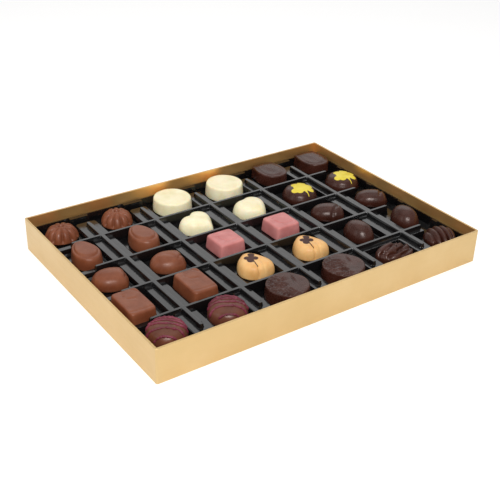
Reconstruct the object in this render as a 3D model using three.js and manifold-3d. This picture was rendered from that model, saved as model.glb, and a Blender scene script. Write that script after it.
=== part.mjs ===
// An open box of chocolate pralines: a gold card base, a black formed tray with thirty pockets
// and the thirty moulded pralines. Millimetres, +Z up. The origin is the middle of the underside,
// the long sides lie along X, and the front is towards -Y.
import * as THREE from 'three';
import { mergeVertices } from 'three/addons/utils/BufferGeometryUtils.js';
import Module from 'manifold-3d';

const wasm = await Module();
wasm.setup();

// Card base
const boxLength = 300;
const boxDepth = 213.6;
const boxHeight = 28.4;
const card = 1.6;
const cardCorner = 1.4;

// Tray
const clearance = 0.5;
const restGap = 0.3;
const sheet = 0.8;
const ribTop = 20.1;
const rimTop = 18.9;
const shelfTop = 16.9;
const pocketFloor = 11.8;
const rimWidth = 1.2;
const rowPitch = 41.8;
const rowRibs = [-1.5, -0.5, 0.5, 1.5].map((step) => step * rowPitch);
const rowRibWidth = 2.4;
const rowRibEnds = [-130, 129];
const ridgeWidth = 3.8;
const ridgeHalfLength = 88.5;
const shelfHalfLength = 94.5;
const shelfCorner = 3.2;
const wallDraft = 0.6;
// The left edge of each ridge between two columns of pockets.
const ridges = [-105.1, -55.1, -1.1, 53.3, 105.3];
// From back to front, for each pair of columns: how far the shelf reaches to the right of the ridge
// before the pocket starts, and how far before the next ridge the pocket ends.
const shelfReach = [
  [[11, 7.2], [9.2, 5.2], [8.7, 7.6]],
  [[11.3, 7], [11.5, 8.8], [8.6, 5.4]],
  [[11.3, 7], [11.7, 8.9], [10.6, 8.8]],
  [[11.3, 6.8], [11.8, 9], [11.2, 9.4]],
  [[10.5, 6.4], [9, 5.2], [9, 6]],
];
const frontStrip = 4.5;
const sideBand = { width: 5, reach: 18 };
const backLug = { width: 19, depth: 5, top: 19.6 };
const sideLug = { width: 3.2, depth: 7, top: 19.4 };

// Pralines
const seat = pocketFloor + restGap;
const usualHeight = 11.5;

const tones = {
  milk: { color: 0x8a5a48, roughness: 0.42 },
  dark: { color: 0x4a3230, roughness: 0.36 },
  white: { color: 0xf3e8c2, roughness: 0.45 },
  ruby: { color: 0xcf7f7e, roughness: 0.45 },
  caramel: { color: 0xe3b47c, roughness: 0.42 },
  gold: { color: 0xe6c587, roughness: 0.38 },
  tray: { color: 0x2c2a2b, roughness: 0.2 },
};

function solidOf(geometry) {
  const bare = geometry.clone();
  bare.deleteAttribute('normal');
  bare.deleteAttribute('uv');
  const merged = mergeVertices(bare, 1e-4);
  const index = merged.index.array;
  const kept = [];
  for (let i = 0; i < index.length; i += 3) {
    const [a, b, c] = [index[i], index[i + 1], index[i + 2]];
    if (a !== b && b !== c && c !== a) {
      kept.push(a, b, c);
    }
  }
  const vertProperties = new Float32Array(merged.attributes.position.array);
  return new wasm.Manifold(new wasm.Mesh({ numProp: 3, vertProperties, triVerts: new Uint32Array(kept) }));
}

function geometryOf(solid) {
  const { vertProperties, triVerts } = solid.getMesh();
  const geometry = new THREE.BufferGeometry();
  geometry.setAttribute('position', new THREE.BufferAttribute(new Float32Array(vertProperties), 3));
  geometry.setIndex(new THREE.BufferAttribute(new Uint32Array(triVerts), 1));
  geometry.computeVertexNormals();
  return geometry;
}

function joined(solids) {
  return solids.reduce((all, solid) => all.add(solid));
}

// The outline of a rectangle with round corners, centred on the origin.
function roundedShape(width, depth, radius, steps) {
  const [x, y] = [width / 2 - radius, depth / 2 - radius];
  const middles = [[x, y], [-x, y], [-x, -y], [x, -y]];
  const points = [];
  middles.forEach(([mx, my], quarter) => {
    for (let step = 0; step <= steps; step += 1) {
      const angle = ((quarter + step / steps) * Math.PI) / 2;
      points.push(new THREE.Vector2(mx + radius * Math.cos(angle), my + radius * Math.sin(angle)));
    }
  });
  return new THREE.Shape(points);
}

// A block with round corners in plan whose walls spread by the draft from its top to its foot.
function block({ x0, x1, y0, y1, foot, top, corner, draft = 0, cornerSteps = 1 }) {
  const [width, depth] = [x1 - x0, y1 - y0];
  const radius = Math.min(corner, width / 2.01, depth / 2.01);
  const shape = roundedShape(width, depth, radius, cornerSteps);
  const geometry = new THREE.ExtrudeGeometry(shape, { depth: top - foot, bevelEnabled: false });
  const place = geometry.attributes.position;
  for (let i = 0; i < place.count; i += 1) {
    const spread = place.getZ(i) < (top - foot) / 2 ? draft : 0;
    place.setX(i, place.getX(i) * (1 + (2 * spread) / width));
    place.setY(i, place.getY(i) * (1 + (2 * spread) / depth));
  }
  geometry.translate((x0 + x1) / 2, (y0 + y1) / 2, foot);
  return solidOf(geometry);
}

function cardBase() {
  const [x, y] = [boxLength / 2, boxDepth / 2];
  const outside = block({
    x0: -x,
    x1: x,
    y0: -y,
    y1: y,
    foot: 0,
    top: boxHeight,
    corner: cardCorner,
    cornerSteps: 2,
  });
  const inside = block({
    x0: card - x,
    x1: x - card,
    y0: card - y,
    y1: y - card,
    foot: card,
    top: boxHeight + card,
    corner: 0.3,
  });
  return geometryOf(outside.subtract(inside));
}

// A form that rises from the pocket floors. An inset one is the hollow beneath such a form.
function raised({ x0, x1, y0, y1, top, corner, draft = wallDraft, inset = 0, cornerSteps = 1 }) {
  return block({
    x0: x0 + inset,
    x1: x1 - inset,
    y0: y0 + inset,
    y1: y1 - inset,
    foot: pocketFloor - sheet - inset,
    top: top - inset,
    corner: Math.max(corner - inset / 2, 0.4),
    draft,
    cornerSteps,
  });
}

function rowRibForms(inset) {
  return rowRibs.map((y) => raised({
    x0: rowRibEnds[0],
    x1: rowRibEnds[1],
    y0: y - rowRibWidth / 2,
    y1: y + rowRibWidth / 2,
    top: ribTop,
    corner: 1.1,
    draft: 1.2,
    inset,
  }));
}

// Ridges, shelves and the strip of shelf at the front right.
function shelfForms() {
  const rowEdges = [shelfHalfLength, ...[...rowRibs].reverse(), -shelfHalfLength];
  const forms = [];
  ridges.forEach((left, ridge) => {
    forms.push(raised({
      x0: left,
      x1: left + ridgeWidth,
      y0: -ridgeHalfLength,
      y1: ridgeHalfLength,
      top: ribTop,
      corner: 1.8,
      draft: 0.3,
    }));
    shelfReach.forEach((pairs, row) => {
      const before = pairs[Math.floor(ridge / 2)][1];
      const after = pairs[Math.floor((ridge + 1) / 2)][0];
      forms.push(raised({
        x0: left - before,
        x1: left + after,
        y0: rowEdges[row + 1],
        y1: rowEdges[row],
        top: shelfTop,
        corner: shelfCorner,
      }));
    });
  });
  forms.push(raised({
    x0: ridges[3],
    x1: rowRibEnds[1],
    y0: rowRibs[0] - rowRibWidth / 2 - frontStrip,
    y1: rowRibs[0],
    top: shelfTop,
    corner: 1,
  }));
  return forms;
}

// Low bands from the row ribs to the left wall, and lugs at the other walls.
function edgeForms() {
  const wallX = boxLength / 2 - card - clearance - rimWidth / 2;
  const wallY = boxDepth / 2 - card - clearance - rimWidth / 2;
  const forms = [];
  rowRibs.forEach((y) => {
    forms.push(raised({
      x0: -wallX,
      x1: sideBand.reach - wallX,
      y0: y - sideBand.width / 2,
      y1: y + sideBand.width / 2,
      top: shelfTop,
      corner: 1.5,
    }));
    forms.push(raised({
      x0: wallX - sideLug.width,
      x1: wallX,
      y0: y - sideLug.depth / 2,
      y1: y + sideLug.depth / 2,
      top: sideLug.top,
      corner: 1,
      draft: 0.3,
    }));
  });
  ridges.forEach((left) => {
    [[wallY - backLug.depth, wallY], [-wallY, backLug.depth - wallY]].forEach(([y0, y1]) => {
      const [x0, x1] = [left - backLug.width / 2, left + backLug.width / 2];
      forms.push(raised({ x0, x1, y0, y1, top: backLug.top, corner: 1, draft: 0.3 }));
    });
  });
  return forms;
}

// The hollow under each run of shelves, as wide as the narrowest shelf there allows.
function shelfHollows() {
  return ridges.map((left, ridge) => {
    const before = Math.min(...shelfReach.map((pairs) => pairs[Math.floor(ridge / 2)][1]));
    const after = Math.min(...shelfReach.map((pairs) => pairs[Math.floor((ridge + 1) / 2)][0]));
    return raised({
      x0: left - before + shelfCorner / 2,
      x1: left + after - shelfCorner / 2,
      y0: -shelfHalfLength,
      y1: shelfHalfLength,
      top: shelfTop,
      corner: 0.4,
      inset: sheet,
    });
  });
}

function formedTray() {
  const [x, y] = [boxLength / 2 - card - clearance, boxDepth / 2 - card - clearance];
  const ring = (inset, foot, top) => block({
    x0: inset - x,
    x1: x - inset,
    y0: inset - y,
    y1: y - inset,
    foot,
    top,
    corner: 1.2,
  });
  const skirtFoot = card + restGap;
  const rim = ring(0, skirtFoot, rimTop).subtract(ring(rimWidth, skirtFoot - 1, rimTop + 1));
  const plate = ring(rimWidth / 2, pocketFloor - sheet, pocketFloor);
  const under = ring(rimWidth, skirtFoot - 1, pocketFloor - sheet);
  const upper = joined([rim, plate, ...rowRibForms(0), ...shelfForms(), ...edgeForms()]);
  const lower = joined([under, ...rowRibForms(sheet), ...shelfHollows()]);
  return geometryOf(upper.subtract(lower));
}

// Outlines: a point for each angle round the praline, measured from +X.
const ellipse = (a, b) => (t) => [a * Math.cos(t), b * Math.sin(t)];
const power = (value, n) => (Math.abs(value) < 1e-9 ? 0 : Math.sign(value) * Math.abs(value) ** (2 / n));
const squareish = (a, b, n) => (t) => [a * power(Math.cos(t), n), b * power(Math.sin(t), n)];
const egg = (a, b, taper) => (t) => [a * Math.cos(t) * (1 - taper * Math.sin(t)), b * Math.sin(t)];
const heart = (a, b, notch) => (t) => {
  const x = notch * Math.cos(t) ** 3 + (1 - notch) * Math.cos(t);
  const lobed = (13 * Math.sin(t) + 5 * Math.cos(2 * t) + 2 * Math.sin(3 * t) - Math.cos(4 * t)) / 15;
  return [a * x, b * (notch * lobed + (1 - notch) * Math.sin(t))];
};
// A square-shouldered outline that narrows towards +Y.
const wedge = (a, b, n, taper) => (t) => {
  const [x, y] = squareish(a, b, n)(t);
  return [x * (1 - taper * Math.sin(t)), y];
};
// A broad leaf: an oval with a blunt point towards its back left.
const leafPoint = { rise: 0.07, at: 1.95, width: 0.3 };
const leaf = (a, b) => (t) => {
  const reach = 1 + leafPoint.rise * Math.exp(-(((t - leafPoint.at) / leafPoint.width) ** 2));
  const [x, y] = squareish(a, b, 2.25)(t);
  return [reach * x, reach * y];
};

// A moulded praline: rings of a profile of (share of the outline, share of the height).
// The touch function may move a point further, to give flutes, creases or facets.
function moulded({ profile, outline, height = usualHeight, segments = 20, touch = (p) => p }) {
  const points = profile.map(([share, level]) => new THREE.Vector2(share, level * height));
  const geometry = new THREE.LatheGeometry(points, segments);
  geometry.rotateX(Math.PI / 2);
  const place = geometry.attributes.position;
  for (let i = 0; i < place.count; i += 1) {
    const share = Math.hypot(place.getX(i), place.getY(i));
    const angle = Math.atan2(place.getY(i), place.getX(i));
    const [x, y] = outline(angle);
    const moved = touch({ x: x * share, y: y * share, z: place.getZ(i), share, angle, height });
    place.setXYZ(i, moved.x, moved.y, moved.z);
  }
  return geometry;
}

const bump = (value, middle, reach) => Math.max(0, 1 - ((value - middle) / reach) ** 2);

const fluteCount = 10;
const milkFluted = () => moulded({
  profile: [[0, 0], [0.95, 0], [1, 0.1], [0.93, 0.42], [0.78, 0.76], [0.5, 0.97], [0.3, 1], [0.2, 0.86], [0, 0.84]],
  outline: ellipse(12.9, 12.6),
  height: 12.2,
  segments: 2 * fluteCount,
  touch: (p) => {
    const flute = 1 + 0.065 * bump(p.share, 0.85, 0.6) * Math.cos(fluteCount * p.angle);
    return { x: p.x * flute, y: p.y * flute, z: p.z };
  },
});

const whiteOval = () => moulded({
  profile: [[0, 0], [0.99, 0], [1, 0.06], [0.945, 0.92], [0.915, 0.985], [0.87, 1], [0, 1]],
  outline: ellipse(16.9, 17.2),
  height: 12,
});

const darkLeaf = () => moulded({
  profile: [[0, 0], [0.98, 0], [1, 0.08], [0.95, 0.86], [0.91, 0.98], [0.8, 1], [0.5, 0.93], [0, 0.93]],
  outline: leaf(13.7, 15.6),
  height: 12,
});

const milkEgg = () => moulded({
  profile: [[0, 0], [0.98, 0], [1, 0.06], [0.94, 0.7], [0.87, 0.86], [0.78, 0.86], [0.74, 0.97], [0.6, 1], [0, 1]],
  outline: egg(11.2, 16.6, 0.16),
  height: 12.5,
  touch: (p) => ({ x: p.x, y: p.y, z: p.z * (1 + 0.04 * Math.min(1, p.z / 8) * (p.y / 16)) }),
});

const heartNotches = [0.56, 0.4];
const whiteHeart = (copy) => moulded({
  profile: [[0, 0], [0.94, 0], [1, 0.14], [0.98, 0.36], [0.88, 0.66], [0.66, 0.9], [0.36, 0.99], [0, 1]],
  outline: heart(15.8, 15.6, heartNotches[copy]),
  height: 12,
});

const darkRound = () => moulded({
  profile: [[0, 0], [0.92, 0], [1, 0.12], [0.99, 0.36], [0.9, 0.5], [0.86, 0.72], [0.66, 0.94], [0.3, 1], [0, 1]],
  outline: ellipse(15.4, 15.6),
  height: 11.8,
});

const shellProfile = [[0, 0], [0.9, 0], [1, 0.16], [0.98, 0.38], [0.86, 0.66], [0.62, 0.88], [0.32, 0.98], [0, 1]];
// A plump shell, cut back on its right by a facet that meets the top in a crease.
const shell = (a, b, height, facet) => () => moulded({
  profile: shellProfile,
  outline: squareish(a, b, 2.3),
  height,
  touch: (p) => {
    const past = Math.max(0, p.x - facet + 0.45 * Math.max(0, p.z - 4));
    return { x: p.x - 0.55 * past, y: p.y, z: p.z };
  },
});

const blockProfile = [[0, 0], [0.99, 0], [1, 0.05], [0.93, 0.84], [0.89, 0.96], [0.82, 1], [0, 1]];
const rubyBlock = () => moulded({ profile: blockProfile, outline: squareish(12.2, 12.4, 7), height: 11.4 });
const milkBlock = () => moulded({ profile: blockProfile, outline: squareish(11, 17.2, 8), height: 11.8 });

const caramelHeart = () => moulded({
  profile: [[0, 0], [0.95, 0], [1, 0.12], [0.97, 0.4], [0.87, 0.72], [0.68, 0.93], [0.38, 1], [0, 0.97]],
  outline: wedge(14, 12.7, 2.5, 0.34),
  height: 11.8,
});

const darkEgg = () => moulded({
  profile: [[0, 0], [0.97, 0], [1, 0.12], [0.93, 0.42], [0.76, 0.74], [0.46, 0.94], [0, 1]],
  outline: egg(11, 14.9, 0.1),
  height: 14,
});

const dome = { radius: 15, height: 14 };
const domeProfile = [[0, 0], [0.93, 0], [1, 0.14], [0.985, 0.42], [0.9, 0.7], [0.7, 0.9], [0.36, 0.985], [0, 1]];

// The dome's height over a point of its plan, read off its profile.
function domeLevel(share) {
  const upper = domeProfile.slice(2);
  const next = Math.max(1, upper.findIndex(([reach]) => reach <= share));
  const [[s0, l0], [s1, l1]] = [upper[next - 1], upper[next]];
  return l0 + ((l1 - l0) * (share - s0)) / (s1 - s0);
}

const drizzle = { lines: 5, spacing: 4.4, turn: -0.62, thick: 0.8, sunk: 0.2 };
function drizzledDome() {
  const { radius, height } = dome;
  const body = solidOf(moulded({ profile: domeProfile, outline: ellipse(radius, radius), height }));
  const { thick } = drizzle;
  const corners = [[thick, 0], [0, thick], [-thick, 0], [0, -thick]];
  const section = new THREE.Shape(corners.map(([x, y]) => new THREE.Vector2(x, y)));
  const strands = [];
  for (let line = 0; line < drizzle.lines; line += 1) {
    const across = (line - (drizzle.lines - 1) / 2) * drizzle.spacing;
    const halfLength = Math.sqrt((0.95 * radius) ** 2 - across ** 2);
    const path = [];
    for (let step = 0; step <= 8; step += 1) {
      const along = halfLength * Math.sin(((step - 4) / 8) * Math.PI);
      const x = along * Math.cos(drizzle.turn) - across * Math.sin(drizzle.turn);
      const y = along * Math.sin(drizzle.turn) + across * Math.cos(drizzle.turn);
      const z = height * domeLevel(Math.hypot(x, y) / radius) - drizzle.sunk;
      path.push(new THREE.Vector3(x, y, z));
    }
    strands.push(solidOf(new THREE.ExtrudeGeometry(section, {
      steps: 8,
      bevelEnabled: false,
      extrudePath: new THREE.CatmullRomCurve3(path),
    })));
  }
  return geometryOf(joined([body, ...strands]));
}

const darkDisc = () => moulded({
  profile: [[0, 0], [0.99, 0], [1, 0.06], [0.955, 0.9], [0.92, 0.99], [0.86, 1], [0, 1]],
  outline: ellipse(17.2, 17),
  height: 12,
});

const darkSwirl = () => moulded({
  profile: [[0, 0], [0.95, 0], [1, 0.12], [0.98, 0.34], [0.84, 0.56], [0.62, 0.78], [0.34, 0.94], [0, 1]],
  outline: ellipse(16.6, 12),
  height: 12,
  touch: (p) => {
    const curl = 1 + 0.07 * bump(p.share, 0.65, 0.5) * Math.cos(4 * p.angle + p.z);
    return { x: p.x * curl + 1.2 * (p.z / p.height), y: p.y * curl, z: p.z };
  },
});

// A long praline with ribs across it: turned about X, flat underneath.
const ribbed = { length: 30, width: 24, ribs: 5, relief: 0.09, edge: 4.2 };
function darkRibbed() {
  const rings = 3 * ribbed.ribs + 1;
  const points = [];
  for (let ring = 0; ring <= rings; ring += 1) {
    const turn = (ring / rings) * Math.PI;
    const along = -Math.cos(turn);
    const wave = 1 + ribbed.relief * Math.cos(Math.PI * ribbed.ribs * along) * Math.sin(turn);
    const reach = ring % rings === 0 ? 0 : (ribbed.width / 2) * Math.sin(turn) ** 0.8 * wave;
    points.push(new THREE.Vector2(reach, (along * ribbed.length) / 2));
  }
  const geometry = new THREE.LatheGeometry(points, 12);
  geometry.rotateZ(-Math.PI / 2);
  const place = geometry.attributes.position;
  const [above, below] = [usualHeight - ribbed.edge, 1.7 * ribbed.edge];
  for (let i = 0; i < place.count; i += 1) {
    const side = place.getZ(i) / (ribbed.width / 2);
    place.setZ(i, Math.max(0, ribbed.edge + side * (side > 0 ? above : below)));
  }
  return geometry;
}

// Each kind of praline with its middle points in plan and its turn in degrees.
const kinds = [
  { name: 'milk_fluted', tone: 'milk', make: milkFluted, at: [[-127.7, 86.4, 0], [-77.6, 86.2, 12]] },
  { name: 'white_oval', tone: 'white', make: whiteOval, at: [[-24.2, 85.3, 0], [30, 85.6, 0]] },
  { name: 'dark_leaf', tone: 'dark', make: darkLeaf, at: [[82.8, 86.9, 0], [132.5, 86.9, 0]] },
  { name: 'milk_egg', tone: 'milk', make: milkEgg, at: [[-127.3, 42.6, 0], [-76.9, 42.6, 3]] },
  { name: 'white_heart', tone: 'white', make: whiteHeart, at: [[-26.2, 42, 22], [27.6, 41.4, 14]] },
  { name: 'dark_round', tone: 'dark', make: darkRound, at: [[81.8, 41.8, 0], [131.2, 42.1, 0]] },
  { name: 'milk_shell', tone: 'milk', make: shell(15.4, 11.8, 12.3, 10), at: [[-125.9, 1.8, -16], [-76.6, 0.8, -16]] },
  { name: 'ruby_block', tone: 'ruby', make: rubyBlock, at: [[-24.7, 0.9, 0], [30.4, 0.9, 0]] },
  { name: 'dark_bean', tone: 'dark', make: shell(15.6, 10.6, 11.6, 11.4), at: [[81.8, 0.6, -32], [132.2, 1.4, -32]] },
  { name: 'milk_block', tone: 'milk', make: milkBlock, at: [[-131.2, -41.7, 0], [-79.4, -41.7, 0]] },
  { name: 'caramel_heart', tone: 'caramel', make: caramelHeart, at: [[-26.4, -40.6, 115], [27.4, -40.8, 115]] },
  { name: 'dark_egg', tone: 'dark', make: darkEgg, at: [[79.6, -41, 0], [131, -41.4, -12]] },
  { name: 'milk_drizzled', tone: 'milk', make: drizzledDome, at: [[-127.8, -81.8, 0], [-78, -81.8, 6]] },
  { name: 'dark_disc', tone: 'dark', make: darkDisc, at: [[-25.2, -82.4, 0], [28, -82.8, 0]] },
  { name: 'dark_swirl', tone: 'dark', make: darkSwirl, at: [[81.2, -82.6, -6]] },
  { name: 'dark_ribbed', tone: 'dark', make: darkRibbed, at: [[131.4, -82.6, -8]] },
];

function piece(name, geometry, tone) {
  const { color, roughness } = tones[tone];
  const metalness = tone === 'gold' ? 0.35 : 0;
  const mesh = new THREE.Mesh(geometry, new THREE.MeshStandardMaterial({ color, roughness, metalness }));
  mesh.name = name;
  return mesh;
}

const pralineBox = new THREE.Group();
pralineBox.add(piece('box', cardBase(), 'gold'));
pralineBox.add(piece('tray', formedTray(), 'tray'));
kinds.forEach(({ name, tone, make, at }) => {
  at.forEach(([x, y, turn], copy) => {
    const mesh = piece(at.length > 1 ? `${name}_${copy + 1}` : name, make(copy), tone);
    mesh.position.set(x, y, seat);
    mesh.rotation.z = THREE.MathUtils.degToRad(turn);
    pralineBox.add(mesh);
  });
});

export default pralineBox;
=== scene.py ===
import math

import bmesh
import bpy
import numpy as np
from mathutils import Matrix, Vector, noise
from mathutils.bvhtree import BVHTree


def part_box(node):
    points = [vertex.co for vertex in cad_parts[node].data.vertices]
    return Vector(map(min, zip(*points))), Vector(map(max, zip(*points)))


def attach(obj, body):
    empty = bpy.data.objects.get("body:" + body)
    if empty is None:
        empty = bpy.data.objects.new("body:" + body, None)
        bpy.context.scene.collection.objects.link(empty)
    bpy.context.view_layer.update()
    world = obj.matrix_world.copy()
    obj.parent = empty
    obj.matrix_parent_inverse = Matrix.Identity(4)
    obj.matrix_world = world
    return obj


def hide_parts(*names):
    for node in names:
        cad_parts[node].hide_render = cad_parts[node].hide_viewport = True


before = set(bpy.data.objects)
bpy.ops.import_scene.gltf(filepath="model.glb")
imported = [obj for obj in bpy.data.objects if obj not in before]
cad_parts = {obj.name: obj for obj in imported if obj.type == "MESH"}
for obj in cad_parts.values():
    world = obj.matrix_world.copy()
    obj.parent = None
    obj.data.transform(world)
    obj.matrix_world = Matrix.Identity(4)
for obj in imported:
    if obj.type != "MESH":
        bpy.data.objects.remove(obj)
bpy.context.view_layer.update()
metresPerMm = 0.001

# Camera, floor and light

cameraSet = {
    "place": (-0.374367, -0.518994, 0.370478),
    "yaw": 0.6236,
    "pitch": 0.5197,
    "roll": 0.0297,
    "focalPixels": 896.006,
    "imagePixels": 500,
    "sensorWidth": 36.0,
    "clipStart": 0.02,
}
stageSet = {
    "floorHalf": 4.0,
    "floorSquares": 8,
    "floorColour": (0.96, 0.96, 0.96, 1.0),
    "floorGlow": 0.15,
    "floorRoughness": 0.9,
    "floorShine": 0.1,
    "worldColour": (1.0, 0.99, 0.98, 1.0),
    "worldStrength": 0.5,
}
# Each light: place, the point it faces, size of its panel and power.
lightSet = {
    "frontPanel": ((-0.6, -1.05, 1.1), (0, 0, 0), (0.7, 0.45), 17.0),
    "topPanel": ((0.1, 0.2, 1.4), (0, 0, 0), (1.6, 1.2), 4.0),
    "backPanel": ((1.3, 1.8, 1.35), (0, 0, 0), (2.2, 1.2), 7.0),
    "leftPanel": ((-1.3, 0.1, 0.8), (0, 0, 0), (0.5, 0.9), 2.0),
}


def addCamera():
    c = cameraSet
    yaw, pitch, roll = c["yaw"], c["pitch"], c["roll"]
    ahead = Vector((math.sin(yaw) * math.cos(pitch), math.cos(yaw) * math.cos(pitch), -math.sin(pitch)))
    level = Vector((math.cos(yaw), -math.sin(yaw), 0))
    above = level.cross(ahead)
    right = level * math.cos(roll) + above * math.sin(roll)
    up = above * math.cos(roll) - level * math.sin(roll)
    data = bpy.data.cameras.new("camera")
    data.sensor_width = c["sensorWidth"]
    data.lens = c["focalPixels"] / c["imagePixels"] * c["sensorWidth"]
    data.clip_start = c["clipStart"]
    camera = bpy.data.objects.new("camera", data)
    turn = Matrix((right, up, -ahead)).transposed()
    camera.matrix_world = Matrix.Translation(c["place"]) @ turn.to_4x4()
    bpy.context.scene.collection.objects.link(camera)
    bpy.context.scene.camera = camera


def addLights():
    for name, (place, target, size, power) in lightSet.items():
        data = bpy.data.lights.new(name, "AREA")
        data.shape = "RECTANGLE"
        data.size, data.size_y = size
        data.energy = power
        light = bpy.data.objects.new(name, data)
        light.location = place
        light.rotation_euler = (Vector(target) - Vector(place)).to_track_quat("-Z", "Y").to_euler()
        bpy.context.scene.collection.objects.link(light)
    world = bpy.data.worlds.new("studio")
    world.use_nodes = True
    background = world.node_tree.nodes["Background"]
    background.inputs["Color"].default_value = stageSet["worldColour"]
    background.inputs["Strength"].default_value = stageSet["worldStrength"]
    bpy.context.scene.world = world
    bpy.context.scene.view_settings.view_transform = "Standard"


def addFloor():
    bm = bmesh.new()
    squares = stageSet["floorSquares"]
    bmesh.ops.create_grid(bm, x_segments=squares, y_segments=squares, size=stageSet["floorHalf"])
    floor = meshObject("floor", bm, [plainFloor()], smooth=False)


# Materials

noiseRange = (0.3, 0.7)  # where a noise texture's values mostly lie


def newMaterial(name):
    material = bpy.data.materials.new(name)
    material.use_nodes = True
    nodes = material.node_tree.nodes
    return material, nodes, material.node_tree.links, nodes["Principled BSDF"]


def objectNoise(nodes, links, scale, detail, roughness=0.55, stretch=(1, 1, 1)):
    where = nodes.new("ShaderNodeTexCoord")
    mapping = nodes.new("ShaderNodeMapping")
    mapping.inputs["Scale"].default_value = stretch
    texture = nodes.new("ShaderNodeTexNoise")
    texture.inputs["Scale"].default_value = scale
    texture.inputs["Detail"].default_value = detail
    texture.inputs["Roughness"].default_value = roughness
    links.new(where.outputs["Object"], mapping.inputs["Vector"])
    links.new(mapping.outputs["Vector"], texture.inputs["Vector"])
    return texture.outputs["Fac"]


def colourRamp(nodes, links, source, places, colours):
    ramp = nodes.new("ShaderNodeValToRGB")
    elements = ramp.color_ramp.elements
    while len(elements) < len(places):
        elements.new(0.5)
    for element, place, colour in zip(elements, places, colours):
        element.position = place
        element.color = (*colour, 1)
    links.new(source, ramp.inputs["Fac"])
    return ramp.outputs["Color"]


def valueRange(nodes, links, source, low, high):
    fit = nodes.new("ShaderNodeMapRange")
    fit.inputs["From Min"].default_value, fit.inputs["From Max"].default_value = noiseRange
    fit.inputs["To Min"].default_value = low
    fit.inputs["To Max"].default_value = high
    links.new(source, fit.inputs["Value"])
    return fit.outputs["Result"]


def addBump(nodes, links, shader, sources, distances):
    before = None
    for source, distance in zip(sources, distances):
        bump = nodes.new("ShaderNodeBump")
        bump.inputs["Distance"].default_value = distance
        links.new(source, bump.inputs["Height"])
        if before:
            links.new(before.outputs["Normal"], bump.inputs["Normal"])
        before = bump
    links.new(before.outputs["Normal"], shader.inputs["Normal"])


def plainFloor():
    material, nodes, links, shader = newMaterial("floorPaper")
    shader.inputs["Base Color"].default_value = stageSet["floorColour"]
    shader.inputs["Emission Color"].default_value = stageSet["floorColour"]
    shader.inputs["Emission Strength"].default_value = stageSet["floorGlow"]
    shader.inputs["Roughness"].default_value = stageSet["floorRoughness"]
    shader.inputs["Specular IOR Level"].default_value = stageSet["floorShine"]
    return material


# Deep, middle and pale colour, roughness from and to, share of light that goes under the skin.
chocolateSet = {
    "milk": ((0.16, 0.044, 0.018), (0.19, 0.056, 0.024), (0.222, 0.071, 0.033), 0.3, 0.42, 0.06),
    "dusky": ((0.09, 0.027, 0.0145), (0.115, 0.036, 0.02), (0.14, 0.047, 0.027), 0.26, 0.38, 0.04),
    "dark": ((0.032, 0.0086, 0.005), (0.042, 0.0118, 0.0072), (0.054, 0.0165, 0.011), 0.22, 0.34, 0.02),
    "white": ((0.8, 0.71, 0.43), (0.86, 0.78, 0.52), (0.9, 0.83, 0.6), 0.32, 0.44, 0.25),
    "ruby": ((0.49, 0.165, 0.155), (0.54, 0.195, 0.185), (0.6, 0.235, 0.22), 0.32, 0.44, 0.1),
    "caramel": ((0.68, 0.36, 0.12), (0.76, 0.43, 0.16), (0.8, 0.49, 0.2), 0.32, 0.44, 0.12),
    "yellowPrint": ((0.66, 0.5, 0.03), (0.75, 0.59, 0.05), (0.8, 0.65, 0.09), 0.4, 0.55, 0.05),
    "brownPrint": ((0.034, 0.011, 0.008), (0.048, 0.016, 0.012), (0.068, 0.025, 0.019), 0.5, 0.62, 0.0),
    "berryDrizzle": ((0.1, 0.012, 0.024), (0.145, 0.019, 0.038), (0.2, 0.033, 0.06), 0.36, 0.55, 0.04),
}
# Scale and detail of each pattern, places of the colours, and depths of the bumps in metres.
chocolateGrain = {
    "cloud": (90, 5),
    "fine": (900, 3),
    "grain": (2600, 2),
    "colourPlaces": (0.34, 0.5, 0.68),
    "bumps": (0.0004, 0.00005, 0.00002),
    "ior": 1.42,
    "shineTint": (1.0, 0.88, 0.84, 1.0),
    "underRadius": (1.0, 0.5, 0.3),
    "underScale": 0.002,
}


def chocolate(name):
    *colours, smooth, rough, under = chocolateSet[name]
    g = chocolateGrain
    material, nodes, links, shader = newMaterial(name)
    cloud = objectNoise(nodes, links, *g["cloud"])
    fine = objectNoise(nodes, links, *g["fine"])
    grain = objectNoise(nodes, links, *g["grain"])
    links.new(colourRamp(nodes, links, cloud, g["colourPlaces"], colours), shader.inputs["Base Color"])
    links.new(valueRange(nodes, links, fine, smooth, rough), shader.inputs["Roughness"])
    shader.inputs["IOR"].default_value = g["ior"]
    shader.inputs["Specular Tint"].default_value = g["shineTint"]
    shader.inputs["Subsurface Weight"].default_value = under
    shader.inputs["Subsurface Radius"].default_value = g["underRadius"]
    shader.inputs["Subsurface Scale"].default_value = g["underScale"]
    addBump(nodes, links, shader, (cloud, fine, grain), g["bumps"])
    return material


# Outside of the card, and its inside, which is deeper and browner.
goldSet = {
    "goldCard": ((0.6, 0.42, 0.19), (0.63, 0.445, 0.21), (0.66, 0.48, 0.24)),
    "goldInside": ((0.86, 0.48, 0.16), (0.94, 0.54, 0.19), (0.98, 0.6, 0.23)),
}
goldGrain = {
    "cloud": (22, 4),
    "brushed": (260, 5, 0.6, (0.15, 0.15, 3.0)),
    "fibre": (1500, 3),
    "colourPlaces": (0.3, 0.52, 0.72),
    "bumps": (0.0002, 0.000012, 0.00002),
    "roughness": (0.34, 0.42),
    "metallic": 0.85,
}


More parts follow.
